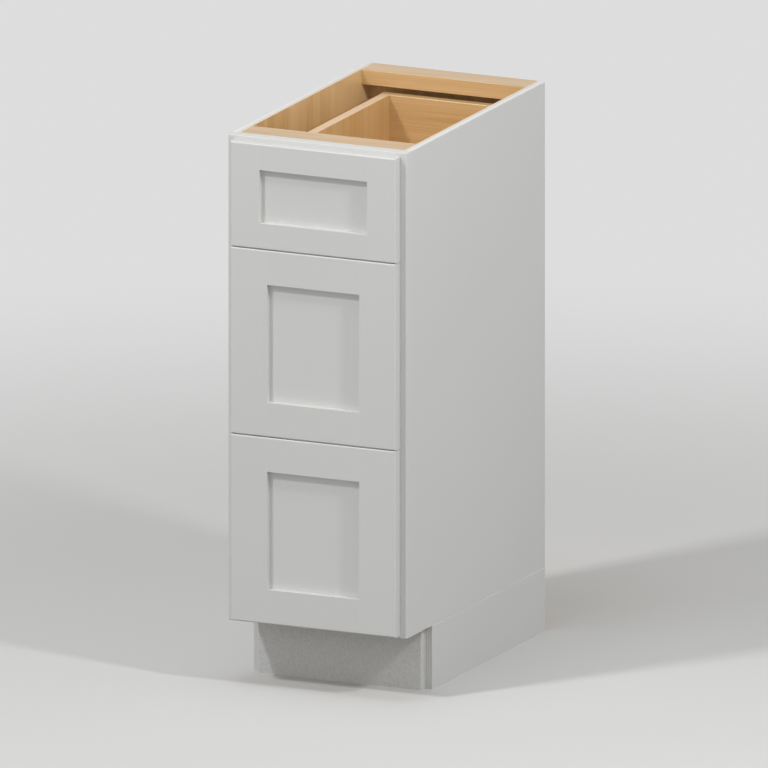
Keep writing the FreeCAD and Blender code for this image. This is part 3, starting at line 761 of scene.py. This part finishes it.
def screw_shape(length, columns=32):
    """A screw along +Z: its seat at z 0, its head above, its tip at minus length.

    Head: the height falls with the fourth power of the radius, less a recess that is deep within a
    bar's half width of either of two crossed lines. Shank: the radius is the core plus the cube of a
    zigzag that follows z / pitch minus the turn, tapering to nothing over the last millimetres."""
    turn_round = np.linspace(0.0, 2.0 * math.pi, columns, endpoint=False)[None, :]
    across = np.array([0.0, 0.35, 0.6, 0.9, 1.2, 1.5, 1.75, 2.0, 2.6, 3.2, 3.55, 3.8])[:, None] / 1000
    dome = head_height * (1.0 - 0.45 * (across / head_radius) ** 4) * np.ones_like(turn_round)
    off_bar = across * np.abs(np.sin((turn_round + math.pi / 4) % (math.pi / 2) - math.pi / 4))
    pressed = (1.0 - soft_step(off_bar, *recess_side)) * (1.0 - soft_step(across, *recess_end))
    dome = dome - recess_depth * pressed
    dome[-1] = 0.35 * head_height
    head_rim = np.full((2, columns), head_radius)
    head_rim[1] = 0.97 * head_radius
    rim_height = np.zeros((2, columns))
    rim_height[0] = 0.15 * head_height
    down = np.concatenate([[0.0], np.arange(0.0004, length - 0.0005, thread_pitch / 5)])[:, None]
    ridge = np.abs(2.0 * np.mod(down / thread_pitch - turn_round / (2.0 * math.pi), 1.0) - 1.0)
    taper = 1.0 - soft_step(down, length - 0.0045, length)
    shank = (thread_core + (thread_crest - thread_core) * ridge ** 3) * taper
    shank[0] = thread_crest
    radius = np.vstack([across * np.ones_like(turn_round), head_rim, shank, np.zeros((1, columns))])
    height = np.vstack([dome, rim_height, -down * np.ones_like(turn_round), np.full((1, columns), -length)])
    points = np.stack([radius * np.cos(turn_round), radius * np.sin(turn_round), height], axis=-1)
    return points.reshape(-1, 3), grid_faces(len(radius), columns)


def aimed(shape, way):
    """Turns a shape made along +Z so that its head faces along way, one of the six axis directions."""
    points, faces = shape
    rotation = np.array(Vector((0, 0, 1)).rotation_difference(Vector(way)).to_matrix())
    return points @ rotation.T, faces


# %% Put the screws in
# The heads rest on their seats: an x for the slides' screws and a y for the fronts'. Each row of
# holes is x and the height over the box's underside.
slide_screw = screw_shape(length=0.0108)
front_screw = screw_shape(length=0.0240)
slide_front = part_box("slide_outer_members")[0][1]
slide_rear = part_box("slide_outer_members")[1][1]
screw_rows = (slide_front + 0.046, slide_rear - 0.092)
outer_seat = 0.1131
inner_seat = 0.1028
front_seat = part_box("top_drawer_box_front")[1][1]
low_box_holes = [(x, 0.0959) for x in (-0.05715, 0.05715)]
deep_box_holes = [(x, z) for x in (-0.08092, 0.08092) for z in (0.0508, 0.1524)]
slide_heights = {}
front_screw_places = {}
for drawer in drawers:
    member_low, member_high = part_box(drawer + "_slide_inner_members")
    slide_heights[drawer] = (member_low[2] + member_high[2]) / 2
    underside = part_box(drawer + "_box_front")[0][2]
    holes = low_box_holes if drawer == "top_drawer" else deep_box_holes
    front_screw_places[drawer] = [(x, front_seat, underside + z) for x, z in holes]
outer_places = [(y, z) for z in slide_heights.values() for y in screw_rows]
outer_screws = together(
    [copies(*aimed(slide_screw, (-sign, 0, 0)), [(sign * outer_seat, y, z) for y, z in outer_places])
     for sign in (-1.0, 1.0)])
piece("slide_screws_outer", outer_screws, "case", screw_steel, ["slide_outer_screws"])
for drawer in drawers:
    height = slide_heights[drawer]
    shapes = [
        copies(*aimed(slide_screw, (sign, 0, 0)), [(sign * inner_seat, y, height) for y in screw_rows])
        for sign in (-1.0, 1.0)]
    shapes.append(copies(*aimed(front_screw, (0, 1, 0)), front_screw_places[drawer]))
    screws = together(shapes)
    piece(drawer + "_screws_detailed", screws, drawer, screw_steel, [drawer + "_screws"])

# %% [markdown]
# ## Balls and their carriers
#
# The middle member of a slide runs in the outer one on two rows of steel balls, one above and one
# below, and the inner member runs in the middle one on two more. Each row is held by a thin strip.
# They show when a drawer is open. A ball is a small sphere on a coarse grid, because there are many.
# The carrier is a flat section drawn along the row, a little wider at each ball: its width follows a
# cosine of the place along the row.

# %% Balls and carriers
ball_step = 0.0125
carrier_thickness = 0.0007


def ball_shape(radius, rows=6, columns=8):
    """A sphere by latitude and longitude, coarse because it is repeated a few hundred times."""
    rise = np.linspace(-math.pi / 2, math.pi / 2, rows)[:, None]
    round_it = np.linspace(0.0, 2.0 * math.pi, columns, endpoint=False)[None, :]
    wide = np.cos(rise)
    tall = np.sin(rise) + 0.0 * round_it
    points = np.stack([wide * np.cos(round_it), wide * np.sin(round_it), tall], axis=-1)
    return radius * points.reshape(-1, 3), grid_faces(rows, columns)


def carrier_shape(start, end, inner, outer, centres, columns=12):
    """A strip along Y: a rounded flat section, x from inner to outer, narrowing between the balls.

    The section is an ellipse whose cosine and sine are raised to a low power, which squares it off.
    Its ends are closed by a ring drawn together to the middle."""
    along = np.linspace(start, end, 6 * len(centres) + 1)[:, None]
    section = np.linspace(0.0, 2.0 * math.pi, columns, endpoint=False)[None, :]
    swell = 0.80 + 0.20 * np.cos(2.0 * math.pi * (along - centres[0]) / ball_step)
    half = 0.5 * (outer - inner) * swell
    lying = np.sign(np.cos(section)) * np.abs(np.cos(section)) ** 0.4
    standing = np.sign(np.sin(section)) * np.abs(np.sin(section)) ** 0.4
    x = 0.5 * (inner + outer) + half * lying
    z = 0.5 * carrier_thickness * standing + 0.0 * along
    y = along + 0.0 * section
    tube = np.stack([x, y, z], axis=-1)
    first_cap = np.broadcast_to(tube[:1].mean(axis=1, keepdims=True), tube[:1].shape)
    last_cap = np.broadcast_to(tube[-1:].mean(axis=1, keepdims=True), tube[-1:].shape)
    tube = np.vstack([first_cap, tube, last_cap])
    return tube.reshape(-1, 3), grid_faces(len(tube), columns)


def ball_track(side, height, offset, radius, inner, outer, start, end):
    """The balls and the carriers of one row above and one below the middle of a slide.

    The strip is made for the right side, and its x is turned round by side for the left."""
    centres = np.arange(start + 0.006, end - 0.005, ball_step)
    ball = ball_shape(radius)
    strip = carrier_shape(start, end, inner, outer, centres)
    mirrored = strip[0] * np.array([side, 1.0, 1.0])
    rows = (height - offset, height + offset)
    spots = [(side * 0.5 * (inner + outer), y, z) for z in rows for y in centres]
    return copies(*ball, spots), copies(mirrored, strip[1], [(0.0, 0.0, z) for z in rows])


# Each: offset from the slide's middle, ball radius, the strip's inner and outer x, its start and end.
outer_rows = (0.0198, 0.00155, 0.1067, 0.1109, slide_rear - 0.202, slide_rear - 0.008)
inner_rows = (0.0153, 0.00165, 0.1051, 0.1091, slide_front + 0.006, slide_front + 0.200)
for drawer in drawers:
    balls, strips = [], []
    for side in (-1.0, 1.0):
        for rows in (outer_rows, inner_rows):
            some_balls, some_strips = ball_track(side, slide_heights[drawer], *rows)
            balls.append(some_balls)
            strips.append(some_strips)
    body = drawer.replace("_drawer", "_slide_middle")
    piece(drawer + "_slide_balls", together(balls), body, ball_steel)
    piece(drawer + "_slide_ball_carriers", together(strips), body, slide_steel)

# %% [markdown]
# ## Studio
#
# The cabinet stands on a pale floor under three soft lamps, from the left front, from the right and
# from above, and under a sky that is brighter near the horizon than overhead. The pale background
# belongs to the floor and to the world as the camera and reflections see them, so it adds no light to
# the cabinet. Away from the cabinet the floor fades into the colour of that background, so no line
# shows where it ends.

# %% Floor and sky
def stage_disc(name, radius, rings=6, columns=48):
    """A flat disc: each point lies at its ring's radius times the cosine and the sine of its turn."""
    radii = np.linspace(0.0, radius, rings)[:, None]
    round_it = np.linspace(0.0, 2.0 * math.pi, columns, endpoint=False)[None, :]
    points = np.stack([radii * np.cos(round_it), radii * np.sin(round_it), 0.0 * radii * round_it], axis=-1)
    mesh = bpy.data.meshes.new(name)
    mesh.from_pydata(points.reshape(-1, 3).tolist(), [], grid_faces(rings, columns).tolist())
    disc = bpy.data.objects.new(name, mesh)
    bpy.context.scene.collection.objects.link(disc)
    return disc


def seen_rays(tree):
    """1 for camera, glossy and transmission rays, which are the ones that show a background."""
    path = tree.nodes.new("ShaderNodeLightPath")
    seen = path.outputs["Is Camera Ray"]
    for kind in ("Is Glossy Ray", "Is Transmission Ray"):
        greater = tree.nodes.new("ShaderNodeMath")
        greater.operation = "MAXIMUM"
        tree.links.new(seen, greater.inputs[0])
        tree.links.new(path.outputs[kind], greater.inputs[1])
        seen = greater.outputs[0]
    return seen


floor_radius = 14.0
fade_from = 0.7
fade_to = 2.6
floor_roughness = 0.9
floor_shine = 0.1
floor_seen = (0.72, 0.72, 0.71)
floor_bounce = (0.30, 0.30, 0.295)
sky_seen = (0.71, 0.71, 0.71)
sky_low = (1.01, 1.01, 1.01)
sky_high = (0.12, 0.12, 0.12)

floor = stage_disc("floor", floor_radius)
bench = Bench("floor")
away = bench.add("ShaderNodeVectorMath", operation="LENGTH")
bench.feed(away.inputs[0], bench.place)
distant = bench.ease(away.outputs["Value"], fade_from, fade_to)
shown = seen_rays(bench.tree)
near_colour = bench.mix(distant, floor_seen, (0.0, 0.0, 0.0))
bench.feed(bench.shader.inputs["Base Color"], bench.mix(shown, floor_bounce, near_colour))
bench.shader.inputs["Emission Color"].default_value = (*sky_seen, 1.0)
bench.feed(bench.shader.inputs["Emission Strength"], bench.math("MULTIPLY", distant, shown))
bench.shader.inputs["Roughness"].default_value = floor_roughness
bench.shader.inputs["Specular IOR Level"].default_value = floor_shine
floor.data.materials.append(bench.material)

world = bpy.data.worlds.new("sky")
world.use_nodes = True
background = world.node_tree.nodes["Background"]
mixing = world.node_tree.nodes.new("ShaderNodeMix")
mixing.data_type = "RGBA"
mixing.inputs[7].default_value = (*sky_seen, 1.0)
rise = world.node_tree.nodes.new("ShaderNodeMapRange")
split = world.node_tree.nodes.new("ShaderNodeSeparateXYZ")
direction = world.node_tree.nodes.new("ShaderNodeTexCoord")
blending = world.node_tree.nodes.new("ShaderNodeMix")
blending.data_type = "RGBA"
blending.inputs[6].default_value = (*sky_low, 1.0)
blending.inputs[7].default_value = (*sky_high, 1.0)
# How far a direction rises, kept between 0 and 1, blends the low sky into the high one.
for source, target in (
    (direction.outputs["Generated"], split.inputs[0]),
    (split.outputs[2], rise.inputs[0]),
    (rise.outputs[0], blending.inputs[0]),
    (blending.outputs[2], mixing.inputs[6]),
    (seen_rays(world.node_tree), mixing.inputs[0]),
    (mixing.outputs[2], background.inputs["Color"]),
):
    world.node_tree.links.new(source, target)
background.inputs["Strength"].default_value = 1.0
bpy.context.scene.world = world
print("floor radius in m:", floor_radius)

# %% Lamps
lit_middle = (0.0, 0.0, 0.5)


def lamp(name, travel, distance, side, strength):
    """A square lamp of this side that shines along travel at the cabinet's middle.

    Its power in watts is strength times pi times the distance squared, so strength is the light that
    reaches the middle, in W/m2, wherever the lamp stands."""
    data = bpy.data.lights.new(name, "AREA")
    data.shape = "SQUARE"
    data.size = side
    data.energy = strength * math.pi * distance * distance
    made = bpy.data.objects.new(name, data)
    bpy.context.scene.collection.objects.link(made)
    way = Vector(travel).normalized()
    made.location = Vector(lit_middle) - way * distance
    made.rotation_mode = "QUATERNION"
    made.rotation_quaternion = way.to_track_quat("-Z", "Y")
    print(name, "power in W:", round(data.energy, 1))


lamp("lamp_left_front", travel=(1.74, 3.0, -3.57), distance=4.977, side=0.40, strength=1.04)
lamp("lamp_right", travel=(-2.3, 0.85, -1.7), distance=2.984, side=0.25, strength=0.97)
lamp("lamp_above", travel=(0.05, 0.25, -1.0), distance=3.2, side=0.90, strength=0.40)

bpy.context.scene.view_settings.view_transform = "Standard"
